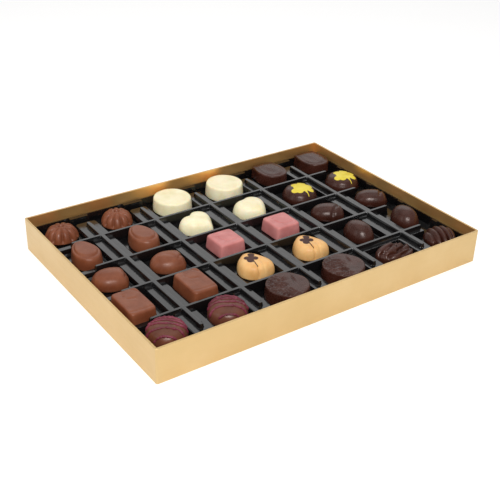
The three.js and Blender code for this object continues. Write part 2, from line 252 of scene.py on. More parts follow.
def goldCard(name):
    g = goldGrain
    material, nodes, links, shader = newMaterial(name)
    cloud = objectNoise(nodes, links, *g["cloud"])
    brushed = objectNoise(nodes, links, *g["brushed"])
    fibre = objectNoise(nodes, links, *g["fibre"])
    links.new(colourRamp(nodes, links, cloud, g["colourPlaces"], goldSet[name]), shader.inputs["Base Color"])
    links.new(valueRange(nodes, links, brushed, *g["roughness"]), shader.inputs["Roughness"])
    shader.inputs["Metallic"].default_value = g["metallic"]
    addBump(nodes, links, shader, (cloud, brushed, fibre), g["bumps"])
    return material


blackSheet = {
    "cloud": (40, 4),
    "fine": (700, 3),
    "colourPlaces": (0.3, 0.7),
    "colours": ((0.003, 0.0028, 0.003), (0.006, 0.0056, 0.006)),
    "bumps": (0.0004, 0.00003),
    "roughness": (0.1, 0.18),
    "ior": 1.6,
}


def blackTray():
    b = blackSheet
    material, nodes, links, shader = newMaterial("blackTray")
    cloud = objectNoise(nodes, links, *b["cloud"])
    fine = objectNoise(nodes, links, *b["fine"])
    links.new(colourRamp(nodes, links, cloud, b["colourPlaces"], b["colours"]), shader.inputs["Base Color"])
    links.new(valueRange(nodes, links, cloud, *b["roughness"]), shader.inputs["Roughness"])
    shader.inputs["IOR"].default_value = b["ior"]
    addBump(nodes, links, shader, (cloud, fine), b["bumps"])
    return material


# Mesh helpers, in millimetres

mergeDistance = 1e-5
creaseReach = 3  # how many widths to each side a crease is still felt
rayStart = 100  # a height above every praline


def meshObject(name, bm, materials, smooth=True):
    mesh = bpy.data.meshes.new(name)
    bm.to_mesh(mesh)
    bm.free()
    for material in materials:
        mesh.materials.append(material)
    for face in mesh.polygons:
        face.use_smooth = smooth
    piece = bpy.data.objects.new(name, mesh)
    bpy.context.scene.collection.objects.link(piece)
    return piece


def rounded(points, rounds):
    # cuts the corners of an open run of points, keeping its ends
    near, far = 0.75, 0.25
    for _ in range(rounds):
        cut = [points[0]]
        for a, b in zip(points[:-1], points[1:]):
            cut.append((a[0] * near + b[0] * far, a[1] * near + b[1] * far))
            cut.append((a[0] * far + b[0] * near, a[1] * far + b[1] * near))
        points = cut + [points[-1]]
    return points


def evenlySpaced(points, count):
    lengths = [0.0]
    for a, b in zip(points[:-1], points[1:]):
        lengths.append(lengths[-1] + math.dist(a, b))
    spots = np.linspace(0, lengths[-1], count)
    return list(zip(*(np.interp(spots, lengths, values) for values in zip(*points))))


def spinFull(bm, verts, axis, steps):
    # joins the points in a row and spins them once round the axis
    edges = [bm.edges.new(pair) for pair in zip(verts[:-1], verts[1:])]
    bmesh.ops.spin(
        bm, geom=verts + edges, cent=(0, 0, 0), axis=axis, dvec=(0, 0, 0), angle=2 * math.pi,
        steps=steps, use_merge=True, use_normal_flip=False, use_duplicate=False)
    bmesh.ops.remove_doubles(bm, verts=bm.verts, dist=mergeDistance)


def spunBody(profile, rings, segments, rounds=2):
    # the profile runs from the middle of the underside, round the edge, to the middle of the top
    curve = evenlySpaced(rounded(profile, rounds), rings)
    bm = bmesh.new()
    verts = [bm.verts.new((max(0.0, r), 0, z)) for r, z in curve]
    verts[0].co.x = 0
    verts[-1].co.x = 0
    spinFull(bm, verts, (0, 0, 1), segments)
    bmesh.ops.recalc_face_normals(bm, faces=bm.faces)
    return bm


def bell(value, middle, reach):
    return math.exp(-(((value - middle) / reach) ** 2))


def turnTo(angle, middle):
    return (angle - middle + math.pi) % (2 * math.pi) - math.pi


def topShare(z, height, start):
    # nothing up to the start, one at the top
    return max(0.0, z / height - start) / (1 - start)


def wander(x, y, z, scale, seed):
    shift = Vector((seed * 7.3, seed * 3.1, seed * 5.7))
    return noise.noise(Vector((x, y, z)) * scale + shift)


def ellipse(a, b):
    return lambda t: (a * math.cos(t), b * math.sin(t))


def squareish(a, b, n):
    def power(value):
        return math.copysign(abs(value) ** (2 / n), value)
    return lambda t: (a * power(math.cos(t)), b * power(math.sin(t)))


def egg(a, b, taper):
    return lambda t: (a * math.cos(t) * (1 - taper * math.sin(t)), b * math.sin(t))


def heart(a, b, notch):
    def outline(t):
        x = notch * math.cos(t) ** 3 + (1 - notch) * math.cos(t)
        lobed = (13 * math.sin(t) + 5 * math.cos(2 * t) + 2 * math.sin(3 * t) - math.cos(4 * t)) / 15
        return a * x, b * (notch * lobed + (1 - notch) * math.sin(t))
    return outline


def wedge(a, b, n, taper):
    square = squareish(a, b, n)

    def outline(t):
        x, y = square(t)
        return x * (1 - taper * math.sin(t)), y
    return outline


def leaf(a, b, n, points):
    # an oval with points at its back
    oval = squareish(a, b, n)

    def outline(t):
        reach = 1 + sum(rise * math.exp(-abs(turnTo(t, at)) / width) for rise, at, width in points)
        x, y = oval(t)
        return reach * x, reach * y
    return outline


def offPath(x, y, path):
    # distance in plan from a point to a run of straight stretches
    nearest = math.inf
    for (x0, y0), (x1, y1) in zip(path[:-1], path[1:]):
        dx, dy = x1 - x0, y1 - y0
        along = min(1.0, max(0.0, ((x - x0) * dx + (y - y0) * dy) / (dx * dx + dy * dy)))
        nearest = min(nearest, math.hypot(x - x0 - along * dx, y - y0 - along * dy))
    return nearest


def pressCreases(bm, creases, turn=0, foot=3.0):
    # grooves along paths that are given in the box's axes, while the body is still unturned
    cosine, sine = math.cos(math.radians(turn)), math.sin(math.radians(turn))
    for path, depth, width in creases:
        path = rounded([(x * cosine + y * sine, y * cosine - x * sine) for x, y in path], 2)
        bm.normal_update()
        moves = []
        for vert in bm.verts:
            away = offPath(vert.co.x, vert.co.y, path)
            if away < creaseReach * width:
                push = depth * bell(away, 0, width) * min(1.0, vert.co.z / foot)
                moves.append((vert, vert.normal * push))
        for vert, move in moves:
            vert.co -= move


def mould(bm, outline, height, touch=None):
    # gives the spun body its outline and height, then its own touch
    for vert in bm.verts:
        share = math.hypot(vert.co.x, vert.co.y)
        angle = math.atan2(vert.co.y, vert.co.x)
        x, y = outline(angle)
        place = Vector((x * share, y * share, vert.co.z * height))
        vert.co = touch(place, share, angle) if touch else place


def levelAt(top, x, y):
    hit = top.ray_cast(Vector((x, y, rayStart)), Vector((0, 0, -1)))[0]
    return hit.z if hit else 0.0


def addMesh(bm, other):
    mesh = bpy.data.meshes.new("part")
    other.to_mesh(mesh)
    other.free()
    bm.from_mesh(mesh)
    bpy.data.meshes.remove(mesh)


patchSet = {
    "profile": [(0, -0.4), (1.0, -0.4), (1.0, 0.4), (0.9, 1.0), (0, 1.0)],
    "rings": 26,
    "segments": 110,
    "rounds": 1,
}


def lobedReach(discs, stem):
    # the outline of overlapping round lobes, seen from their middle, and a thin stem
    stemTurn, stemReach, stemWidth = stem

    def reach(angle):
        far = 0.0
        for x, y, radius in discs:
            ahead = x * math.cos(angle) + y * math.sin(angle)
            inside = radius ** 2 - x ** 2 - y ** 2 + ahead ** 2
            if inside > 0:
                far = max(far, ahead + math.sqrt(inside))
        return far + stemReach * bell(turnTo(angle, stemTurn), 0, stemWidth)
    return reach


def addPatch(bm, reach, middle, turn, thick, material):
    # a thin raised patch on the top of the body, its outline given by a reach for each angle
    top = BVHTree.FromBMesh(bm)
    patch = spunBody(patchSet["profile"], patchSet["rings"], patchSet["segments"], patchSet["rounds"])
    for face in patch.faces:
        face.material_index = material
    for vert in patch.verts:
        share = math.hypot(vert.co.x, vert.co.y)
        angle = math.atan2(vert.co.y, vert.co.x)
        far = share * reach(angle)
        x = middle[0] + far * math.cos(angle + turn)
        y = middle[1] + far * math.sin(angle + turn)
        vert.co = Vector((x, y, levelAt(top, x, y) + thick * vert.co.z))
    addMesh(bm, patch)


def addStrand(bm, points, radii, material):
    # a round strand along a run of points, with closed ends
    curve = bpy.data.curves.new("strand", "CURVE")
    curve.dimensions = "3D"
    curve.bevel_depth = 1.0
    curve.bevel_resolution = 2
    curve.use_fill_caps = True
    spline = curve.splines.new("POLY")
    spline.points.add(len(points) - 1)
    for spot, point, radius in zip(spline.points, points, radii):
        spot.co = (*point, 1)
        spot.radius = radius
    holder = bpy.data.objects.new("strand", curve)
    mesh = bpy.data.meshes.new_from_object(holder)
    strand = bmesh.new()
    strand.from_mesh(mesh)
    bmesh.ops.remove_doubles(strand, verts=strand.verts, dist=mergeDistance)
    bmesh.ops.recalc_face_normals(strand, faces=strand.faces)
    for face in strand.faces:
        face.material_index = material
    bpy.data.objects.remove(holder)
    bpy.data.curves.remove(curve)
    bpy.data.meshes.remove(mesh)
    addMesh(bm, strand)


def seatPraline(node, bm, turn, materials, slot):
    # turned, then fitted into the box of the solid it stands for
    about = Matrix.Rotation(math.radians(turn), 3, "Z")
    bmesh.ops.rotate(bm, cent=(0, 0, 0), matrix=about, verts=bm.verts)
    low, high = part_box(node)
    coords = np.array([v.co for v in bm.verts])
    mineLow, mineHigh = Vector(coords.min(0)), Vector(coords.max(0))
    size = [(high[i] - low[i]) / (mineHigh[i] - mineLow[i]) for i in range(3)]
    bmesh.ops.translate(bm, vec=-mineLow, verts=bm.verts)
    bmesh.ops.scale(bm, vec=size, verts=bm.verts)
    bmesh.ops.translate(bm, vec=low, verts=bm.verts)
    piece = meshObject("praline." + node, bm, materials)
    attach(piece, "root")
    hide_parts(node)


# The card base

cardSet = {
    "wall": 1.6,
    "corner": 1.4,
    "cornerSteps": 5,
    "innerCorner": 0.4,
    "rim": 0.4,
    "foot": 0.5,
    "edgeSteps": 3,
    "outerShare": 0.8,  # share of the wall's thickness, from outside, that has the outside's paper
    "floorShare": 0.5,
}


def roundEdges(bm, edges, offset, steps):
    bmesh.ops.bevel(
        bm, geom=edges, offset=offset * metresPerMm, offset_type="OFFSET", affect="EDGES",
        segments=steps, profile=0.5, material=-1, clamp_overlap=True)


def addCard():
    c = cardSet
    low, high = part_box("box")
    wall = c["wall"] * metresPerMm
    bm = bmesh.new()
    bmesh.ops.create_cube(bm, size=1)
    bmesh.ops.scale(bm, vec=high - low, verts=bm.verts)
    bmesh.ops.translate(bm, vec=(low + high) / 2, verts=bm.verts)
    bm.normal_update()
    lid = [f for f in bm.faces if f.normal.z > 0.9]
    bmesh.ops.inset_region(bm, faces=lid, thickness=wall, depth=0, use_even_offset=True, use_boundary=True)
    floor = max((f for f in bm.faces if f.normal.z > 0.9), key=lambda f: f.calc_area())
    grown = bmesh.ops.extrude_face_region(bm, geom=[floor])["geom"]
    sunk = [g for g in grown if isinstance(g, bmesh.types.BMVert)]
    if floor.is_valid:
        bmesh.ops.delete(bm, geom=[floor], context="FACES_ONLY")
    bmesh.ops.translate(bm, vec=(0, 0, low.z + wall - high.z), verts=sunk)

    def uprights(outer):
        edge = high.x - wall / 2
        return [e for e in bm.edges if abs(e.verts[0].co.z - e.verts[1].co.z) > wall
                and (abs(e.verts[0].co.x) > edge) == outer]

    def level(z):
        bm.normal_update()
        return [e for e in bm.edges if all(abs(v.co.z - z) < 1e-6 for v in e.verts)
                and any(abs(f.normal.z) < 0.5 for f in e.link_faces)]

    roundEdges(bm, uprights(True), c["corner"], c["cornerSteps"])
    roundEdges(bm, uprights(False), c["innerCorner"], c["edgeSteps"])
    roundEdges(bm, level(high.z), c["rim"], c["edgeSteps"])
    roundEdges(bm, level(low.z), c["foot"], c["edgeSteps"])
    bmesh.ops.recalc_face_normals(bm, faces=bm.faces)
    skin = c["outerShare"] * wall
    for face in bm.faces:
        middle = face.calc_center_median()
        inside = abs(middle.x) < high.x - skin and abs(middle.y) < high.y - skin
        face.material_index = 1 if inside and middle.z > low.z + c["floorShare"] * wall else 0
    print("card", sum(not e.is_manifold for e in bm.edges), "open edges")
    card = meshObject("cardBase", bm, [goldCard(name) for name in goldSet], smooth=False)
    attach(card, "root")
    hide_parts("box")


# The formed tray, as heights over a grid that is fine where walls stand

traySet = {
    "half": (147.9, 104.7),
    "foot": 1.9,
    "pocketFloor": 11.8,
    "shelfTop": 16.9,
    "rimTop": 18.9,
    "ribTop": 20.1,
    "rimWidth": 1.2,
    "rimSpread": 0.5,
    "rimSlope": 0.8,
    "rowRibs": (62.7, 20.9, -20.9, -62.7),
    "rowRibWidth": 2.4,
    "rowRibEnds": (-130, 129),
    "ridgeWidth": 3.8,
    "ridgeHalf": 88.5,
    "ridges": (-105.1, -55.1, -1.1, 53.3, 105.3),
    "shelfHalf": 94.5,
    # from back to front and for each pair of columns: reach after the ridge and before the next
    "shelfReach": (
        ((11, 7.2), (9.2, 5.2), (8.7, 7.6)),
        ((11.3, 7), (11.5, 8.8), (8.6, 5.4)),
        ((11.3, 7), (11.7, 8.9), (10.6, 8.8)),
        ((11.3, 6.8), (11.8, 9), (11.2, 9.4)),
        ((10.5, 6.4), (9, 5.2), (9, 6)),
    ),
    "frontStrip": 4.5,
    "sideBand": (5, 18),
    "backLug": (19, 5, 19.6),
    "sideLug": (3.2, 7, 19.4),
    # corner radius in plan and how far the foot of the wall runs out
    "ribForm": (1.1, 1.0),
    "ridgeForm": (1.8, 0.3),
    "shelfForm": (3.2, 0.6),
    "stripForm": (1, 0.6),
    "bandForm": (1.5, 0.6),
    "lugForm": (1, 0.3),
    "shoulder": 0.25,
    "footSpread": 0.3,
    "fine": 0.5,
    "coarse": 2.4,
    "least": 0.2,
    # stretches that need the fine grid besides the ribs, ridges and shelves, and the room round those
    "busyEdgesX": ((-148, -145), (139.5, 148), (-131.5, -128.5), (127.5, 130)),
    "busyEdgesY": ((-105, -97.5), (97.5, 105)),
    "busyOut": 1.2,
    "busyIn": 0.8,
    "busyRidge": 0.9,
    "busyRib": 3,
    "sheet": 0.5,
    "crispAngle": 38,
}


def gridLines(half, busy):
    # close together in the busy stretches, wide apart elsewhere
    t = traySet
    lines = [-half]
    while lines[-1] < half:
        near = any(a <= lines[-1] <= b for a, b in busy)
        step = t["fine"] if near else t["coarse"]
        if not near:
            ahead = [a for a, b in busy if a > lines[-1]]
            step = min([step] + [max(a - lines[-1], t["least"]) for a in ahead])
        lines.append(min(half, lines[-1] + step))
    return np.array(lines)


def eased(share):
    return share * share * (3 - 2 * share)


def risen(x, y, span, top, corner, draft):
    # height of one raised form with rounded shoulders and a rounded foot
    x0, x1, y0, y1 = span
    t = traySet
    corner = min(corner, (x1 - x0) / 2, (y1 - y0) / 2)
    dx = np.abs(x - (x0 + x1) / 2) - (x1 - x0) / 2 + corner
    dy = np.abs(y - (y0 + y1) / 2) - (y1 - y0) / 2 + corner
    away = np.hypot(np.maximum(dx, 0), np.maximum(dy, 0)) + np.minimum(np.maximum(dx, dy), 0) - corner
    foot = draft + t["footSpread"]
    share = np.clip((foot - away) / (foot + t["shoulder"]), 0, 1)
    return t["pocketFloor"] + (top - t["pocketFloor"]) * eased(share)


def trayForms():
    # every raised form: its span in plan, its top, its corner radius and its draft
    t = traySet
    forms = []
    ribHalf = t["rowRibWidth"] / 2
    for y in t["rowRibs"]:
        forms.append(((*t["rowRibEnds"], y - ribHalf, y + ribHalf), t["ribTop"], *t["ribForm"]))
    rowEdges = (t["shelfHalf"], *t["rowRibs"], -t["shelfHalf"])
    for ridge, left in enumerate(t["ridges"]):
        span = (left, left + t["ridgeWidth"], -t["ridgeHalf"], t["ridgeHalf"])
        forms.append((span, t["ribTop"], *t["ridgeForm"]))
        for row, pairs in enumerate(t["shelfReach"]):
            before, after = pairs[ridge // 2][1], pairs[(ridge + 1) // 2][0]
            span = (left - before, left + after, rowEdges[row + 1], rowEdges[row])
            forms.append((span, t["shelfTop"], *t["shelfForm"]))
    front = t["rowRibs"][-1]
    span = (t["ridges"][3], t["rowRibEnds"][1], front - ribHalf - t["frontStrip"], front)
    forms.append((span, t["shelfTop"], *t["stripForm"]))
    wallX = t["half"][0] - t["rimWidth"] / 2
    wallY = t["half"][1] - t["rimWidth"] / 2
    band, reach = t["sideBand"]
    lugWide, lugDeep, lugTop = t["sideLug"]
    for y in t["rowRibs"]:
        forms.append(((-wallX, reach - wallX, y - band / 2, y + band / 2), t["shelfTop"], *t["bandForm"]))
        forms.append(((wallX - lugWide, wallX, y - lugDeep / 2, y + lugDeep / 2), lugTop, *t["lugForm"]))
    lugWide, lugDeep, lugTop = t["backLug"]
    for left in t["ridges"]:
        for y0, y1 in ((wallY - lugDeep, wallY), (-wallY, lugDeep - wallY)):
            forms.append(((left - lugWide / 2, left + lugWide / 2, y0, y1), lugTop, *t["lugForm"]))
    return forms


def trayHeights(x, y):
    t = traySet
    height = np.full(x.shape, float(t["pocketFloor"]))
    for span, top, corner, draft in trayForms():
        height = np.maximum(height, risen(x, y, span, top, corner, draft))
    rimIn = np.minimum(t["half"][0] - np.abs(x), t["half"][1] - np.abs(y))
    share = np.clip((t["rimWidth"] + t["rimSpread"] - rimIn) / t["rimSlope"], 0, 1)
    return np.maximum(height, t["pocketFloor"] + (t["rimTop"] - t["pocketFloor"]) * eased(share))


def busyStretches():
    t = traySet
    outward, inward, beside = t["busyOut"], t["busyIn"], t["busyRidge"]
    busyX = list(t["busyEdgesX"])
    for ridge, left in enumerate(t["ridges"]):
        befores = [pairs[ridge // 2][1] for pairs in t["shelfReach"]]
        afters = [pairs[(ridge + 1) // 2][0] for pairs in t["shelfReach"]]
        busyX.append((left - max(befores) - outward, left - min(befores) + inward))
        busyX.append((left - beside, left + t["ridgeWidth"] + beside))
        busyX.append((left + min(afters) - inward, left + max(afters) + outward))
    shelf, ridgeEnd = t["shelfHalf"], t["ridgeHalf"]
    front = t["rowRibs"][-1] - t["rowRibWidth"] / 2 - t["frontStrip"]
    busyY = [*t["busyEdgesY"], (-shelf - 1, 2 - shelf), (shelf - 3, shelf + 1)]
    busyY += [(y - t["busyRib"], y + t["busyRib"]) for y in t["rowRibs"]]
    busyY += [(front - outward, front + inward), (ridgeEnd - 1, ridgeEnd + 1), (-ridgeEnd - 1, 1 - ridgeEnd)]
    return busyX, busyY


def addTray():
    t = traySet
    busyX, busyY = busyStretches()
    linesX, linesY = gridLines(t["half"][0], busyX), gridLines(t["half"][1], busyY)
    gridX, gridY = np.meshgrid(linesX, linesY)
    heights = trayHeights(gridX, gridY)
    bm = bmesh.new()
    bmesh.ops.create_grid(bm, x_segments=len(linesX) - 1, y_segments=len(linesY) - 1, size=1)
    for vert in bm.verts:
        column = round((vert.co.x + 1) / 2 * (len(linesX) - 1))
        row = round((vert.co.y + 1) / 2 * (len(linesY) - 1))
        vert.co = (linesX[column], linesY[row], heights[row, column])
    border = [e for e in bm.edges if e.is_boundary]
    skirt = bmesh.ops.extrude_edge_only(bm, edges=border)["geom"]
    for vert in (g for g in skirt if isinstance(g, bmesh.types.BMVert)):
        vert.co.z = t["foot"]
    bmesh.ops.recalc_face_normals(bm, faces=bm.faces)
    if sum(f.normal.z for f in bm.faces) < 0:
        bmesh.ops.reverse_faces(bm, faces=bm.faces)
    bmesh.ops.scale(bm, vec=(metresPerMm,) * 3, verts=bm.verts)
    tray = meshObject("formedTray", bm, [blackTray()])
    tray.data.set_sharp_from_angle(angle=math.radians(t["crispAngle"]))
    wall = tray.modifiers.new("sheet", "SOLIDIFY")
    wall.thickness = t["sheet"] * metresPerMm
    wall.offset = -1
    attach(tray, "root")
    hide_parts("tray")
    print("tray", len(tray.data.polygons), "faces")


# Pralines: each kind has its settings and a function that gives its body in millimetres.
# A profile is spun and then given its size. The mesh is its number of rings and of steps round.
# A bell is its height, where it is and its width. A crease is its path, depth and width.

flutedSet = {
    "profile": [
        (0, 0), (0.93, 0), (0.995, 0.03), (1, 0.12), (0.965, 0.32), (0.89, 0.54), (0.78, 0.74), (0.64, 0.87),
        (0.5, 0.935), (0.4, 0.94), (0.34, 0.955), (0.29, 1.0), (0.22, 1.0), (0.17, 0.95), (0.13, 0.86),
        (0.07, 0.83), (0, 0.83)],
    "mesh": (60, 160),
    "size": (12.9, 12.6, 12.2),
    "flutes": 10,
    "sharpness": 1.6,
    "footShare": 0.22,
    "groove": (0.26, 0.8, 0.42),
    "dip": (0.9, 0.5, 0.17),
}


def flutedBody(copy):
    s = flutedSet
    bm = spunBody(s["profile"], *s["mesh"])
    depth, grooveAt, grooveWidth = s["groove"]
    drop, dipAt, dipWidth = s["dip"]

    def touch(p, share, angle):
        valley = (1 - abs(math.sin(s["flutes"] / 2 * angle))) ** s["sharpness"]
        high = min(1.0, p.z / (s["footShare"] * s["size"][2]))
        inward = 1 - depth * valley * high * bell(share, grooveAt, grooveWidth)
        lower = drop * valley * bell(share, dipAt, dipWidth)
        return Vector((p.x * inward, p.y * inward, p.z - lower))

    mould(bm, ellipse(*s["size"][:2]), s["size"][2], touch)
    return bm


ovalSet = {
    "profile": [
        (0, 0), (0.97, 0), (1, 0.03), (0.99, 0.4), (0.965, 0.8), (0.95, 0.93), (0.915, 0.985), (0.87, 1.0),
        (0.8, 1.0), (0.765, 0.985), (0.73, 0.985), (0, 0.995)],
    "mesh": (60, 128),
    "size": (16.9, 17.2, 12),
    "dent": 0.05,
    "dentScale": 0.12,
    "dentSide": 0.15,
    "dentTop": 4,
}


def ovalBody(copy):
    s = ovalSet
    bm = spunBody(s["profile"], *s["mesh"])

    def touch(p, share, angle):
        dent = s["dent"] * wander(p.x, p.y, p.z, s["dentScale"], copy)
        lift = dent * s["dentTop"] * (p.z / s["size"][2])
        return Vector((p.x * (1 + dent * s["dentSide"]), p.y, p.z + lift))

    mould(bm, ellipse(*s["size"][:2]), s["size"][2], touch)
    return bm


leafSet = {
    "profile": [
        (0, 0), (0.96, 0), (1, 0.05), (0.985, 0.45), (0.97, 0.8), (0.96, 0.9), (0.94, 0.935), (0.88, 0.94),
        (0.8, 0.945), (0.7, 0.985), (0.6, 1.0), (0.45, 0.99), (0, 0.98)],
    "mesh": (60, 144),
    "size": (13.7, 15.6, 12),
    "squareness": 2.25,
    "points": ((0.24, 2.3, 0.22), (0.16, 0.95, 0.22)),
    "topFrom": 0.6,
    "sweep": 0.5,
    "sweepScale": 0.3,
    "sweepSlant": 0.4,
    "sweepStart": 0.8,
    "tilt": 0.5,
}


def leafBody(copy):
    s = leafSet
    bm = spunBody(s["profile"], *s["mesh"])

    def touch(p, share, angle):
        top = topShare(p.z, s["size"][2], s["topFrom"])
        wave = math.sin(s["sweepScale"] * (p.x + s["sweepSlant"] * p.y) + s["sweepStart"])
        sweep = s["sweep"] * top * wave * (1 - share)
        tilt = s["tilt"] * top * p.y / s["size"][1]
        return Vector((p.x, p.y, p.z + sweep + tilt))

    mould(bm, leaf(*s["size"][:2], s["squareness"], s["points"]), s["size"][2], touch)
    return bm


eggSet = {
    "profile": [
        (0, 0), (0.96, 0), (1, 0.03), (0.985, 0.3), (0.955, 0.6), (0.925, 0.76), (0.885, 0.85),
        (0.83, 0.885), (0.79, 0.87), (0.755, 0.87), (0.725, 0.92), (0.69, 0.98), (0.62, 1.0), (0, 1.0)],
    "mesh": (72, 128),
    "size": (11.2, 16.6, 12.5),
    "taper": 0.16,
    "plateauFrom": 0.5,
    "plateauShift": (1.3, 0.3, 0.5),
    "crown": 0.35,
}


def eggBody(copy):
    s = eggSet
    bm = spunBody(s["profile"], *s["mesh"])
    slide, slideAt, slideWidth = s["plateauShift"]

    def touch(p, share, angle):
        high = topShare(p.z, s["size"][2], s["plateauFrom"])
        shift = slide * high * bell(share, slideAt, slideWidth)
        crown = s["crown"] * high * (p.y / s["size"][1] - share ** 2)
        return Vector((p.x, p.y + shift, p.z + crown))

    mould(bm, egg(*s["size"][:2], s["taper"]), s["size"][2], touch)
    return bm


heartSet = {
    "profile": [
        (0, 0), (0.92, 0), (0.985, 0.03), (1, 0.14), (0.985, 0.36), (0.94, 0.58), (0.865, 0.77),
        (0.76, 0.89), (0.62, 0.965), (0.4, 1.0), (0, 1.0)],
    "mesh": (56, 144),
    "size": (15.8, 15.6, 12),
    "notches": (0.56, 0.4),
    "clefts": (0.3, 0.1),
    "cleftWidth": 2.6,
    "cleftFrom": 1.5,
    "cleftLength": 9,
}


def heartBody(copy):
    s = heartSet
    bm = spunBody(s["profile"], *s["mesh"])

    def touch(p, share, angle):
        along = max(0.0, p.y - s["cleftFrom"]) / s["cleftLength"]
        cleft = s["clefts"][copy] * bell(p.x, 0, s["cleftWidth"]) * along * (p.z / s["size"][2])
        return Vector((p.x, p.y, p.z - cleft))

    mould(bm, heart(*s["size"][:2], s["notches"][copy]), s["size"][2], touch)
    return bm


# A lobe is its middle and radius. A stem is its angle, how far it goes past the lobes and its width.
roundSet = {
    "profile": [
        (0, 0), (0.9, 0), (0.98, 0.04), (1, 0.18), (0.995, 0.33), (0.96, 0.47), (0.92, 0.57), (0.875, 0.7),
        (0.79, 0.83), (0.64, 0.93), (0.4, 0.985), (0, 1.0)],
    "mesh": (56, 128),
    "size": (15.4, 15.6, 11.8),
    "lobes": (
        (0, 0, 7.6), (-8.8, -2.1, 3.4), (-5.6, -4.9, 3.2), (-2.8, 6.3, 3.6), (4.7, 7.0, 3.8),
        (6.5, -1.1, 3.4), (4.3, -7.1, 3.0)),
    "stem": (-1.69, 6.4, 0.08),
    "leafMiddle": (1.5, -0.6),
    "leafThick": 0.22,
}


def roundBody(copy):
    s = roundSet
    bm = spunBody(s["profile"], *s["mesh"])
    mould(bm, ellipse(*s["size"][:2]), s["size"][2])
    addPatch(bm, lobedReach(s["lobes"], s["stem"]), s["leafMiddle"], 0.0, s["leafThick"], 1)
    return bm


shellSet = {
    "profile": [
        (0, 0), (0.88, 0), (0.97, 0.04), (1, 0.16), (0.99, 0.34), (0.93, 0.54), (0.81, 0.74), (0.62, 0.89),
        (0.38, 0.97), (0.18, 1.0), (0, 1.0)],
    "mesh": (64, 144),
    "squareness": 2.2,
    "facetFrom": 4,
    "facetSlope": 0.45,
    "facetCut": 0.55,
    "milk": {
        "size": (15.4, 11.8, 12.3),
        "facet": 10,
        "turn": -16,
        "creases": (
            (((9, 9), (11.5, 3), (10, -4), (7, -8)), 0.5, 0.8), (((-10, 0), (-5, -3)), 0.15, 1.4)),
        "otherCreases": (
            (((6, 9), (10.5, 5), (12, 0), (6, -5), (3.6, -7.5)), 0.55, 0.8), (((-2, 1), (1, -3)), 0.3, 2.0)),
    },
    "bean": {
        "size": (15.6, 10.6, 11.6),
        "facet": 11.4,
        "turn": -32,
        "creases": (
            (((13, 1), (6, -3), (1, -6), (-3, -9)), 1.2, 1.2), (((5, 10), (8, 7), (8, 4)), 0.7, 1.2)),
        "otherCreases": ((((11, 6), (11, 1), (5, -4), (2, -7)), 1.2, 1.1),),
    },
}


def shellBody(kind, copy):
    s, own = shellSet, shellSet[kind]
    bm = spunBody(s["profile"], *s["mesh"])

    def touch(p, share, angle):
        line = own["facet"] - s["facetSlope"] * max(0.0, p.z - s["facetFrom"])
        past = max(0.0, p.x - line)
        return Vector((p.x - s["facetCut"] * past, p.y, p.z))

    mould(bm, squareish(*own["size"][:2], s["squareness"]), own["size"][2], touch)
    pressCreases(bm, own["otherCreases" if copy else "creases"], own["turn"])
    return bm


blockSet = {
    "profile": [
        (0, 0), (0.96, 0), (0.995, 0.02), (1, 0.08), (0.975, 0.45), (0.945, 0.8), (0.925, 0.92),
        (0.89, 0.98), (0.84, 1.0), (0.6, 1.0), (0, 1.0)],
    "mesh": (56, 160),
    "ruby": (12.2, 12.4, 11.4),
    "milk": (11, 17.2, 11.8),
    "squareness": 9,
    "topFrom": 0.85,
    "sag": 0.15,
    "sagScale": 0.12,
    "sagSeed": 3,
    "rubyCreases": ((((-1, 8.5), (-5.5, 6), (-4.6, -3), (0, -6.5), (6, -5.5)), 0.55, 0.8),),
    "milkCreases": (
        (((-4, 8), (-3, 13), (2, 15.5), (7, 13), (9, 8.5)), 0.55, 0.9),
        (((-2, 3.5), (3, 2), (8, 4)), 0.45, 0.9),
        (((-9, -12), (-2, -13.4), (8, -13)), 0.35, 0.7),
    ),
}


def blockBody(kind, copy):
    s = blockSet
    size = s[kind]
    bm = spunBody(s["profile"], *s["mesh"])

    def touch(p, share, angle):
        sag = s["sag"] * wander(p.x, p.y, 0, s["sagScale"], copy + s["sagSeed"])
        return Vector((p.x, p.y, p.z + topShare(p.z, size[2], s["topFrom"]) * sag))

    mould(bm, squareish(*size[:2], s["squareness"]), size[2], touch)
    pressCreases(bm, s[kind + "Creases"])
    return bm


caramelSet = {
    "profile": [
        (0, 0), (0.93, 0), (0.985, 0.03), (1, 0.14), (0.985, 0.4), (0.945, 0.62), (0.87, 0.8), (0.75, 0.93),
        (0.6, 0.99), (0.4, 1.0), (0, 0.975)],
    "mesh": (64, 160),
    "size": (14, 12.7, 11.8),
    "shoulders": 2.5,
    "taper": 0.34,
    "turn": 115,
    "creases": ((((-1.6, -5), (-2.4, -10), (-3.7, -14)), 0.8, 0.7), (((4, -3), (3, -8), (2, -12)), 0.4, 0.8)),
    "petals": ((0, 0, 3.2), (2.6, -1.7, 2.4), (2.5, 3.9, 2.8), (-3.0, 1.4, 2.5), (-2.9, -3.0, 2.6)),
    "stem": (-1.74, 8.8, 0.07),
    "flowerMiddle": (2.9, -1.1),
    "flowerThick": 0.22,
}


def caramelBody(copy):
    s = caramelSet
    bm = spunBody(s["profile"], *s["mesh"])
    mould(bm, wedge(*s["size"][:2], s["shoulders"], s["taper"]), s["size"][2])
    pressCreases(bm, s["creases"], s["turn"])
    reach = lobedReach(s["petals"], s["stem"])
    addPatch(bm, reach, s["flowerMiddle"], -math.radians(s["turn"]), s["flowerThick"], 1)
    return bm


tallEggSet = {
    "profile": [
        (0, 0), (0.9, 0), (0.98, 0.03), (1, 0.14), (0.97, 0.34), (0.87, 0.58), (0.72, 0.78), (0.52, 0.92),
        (0.28, 0.99), (0, 1.0)],
    "mesh": (56, 128),
    "size": (11, 14.9, 14),
    "taper": 0.1,
}


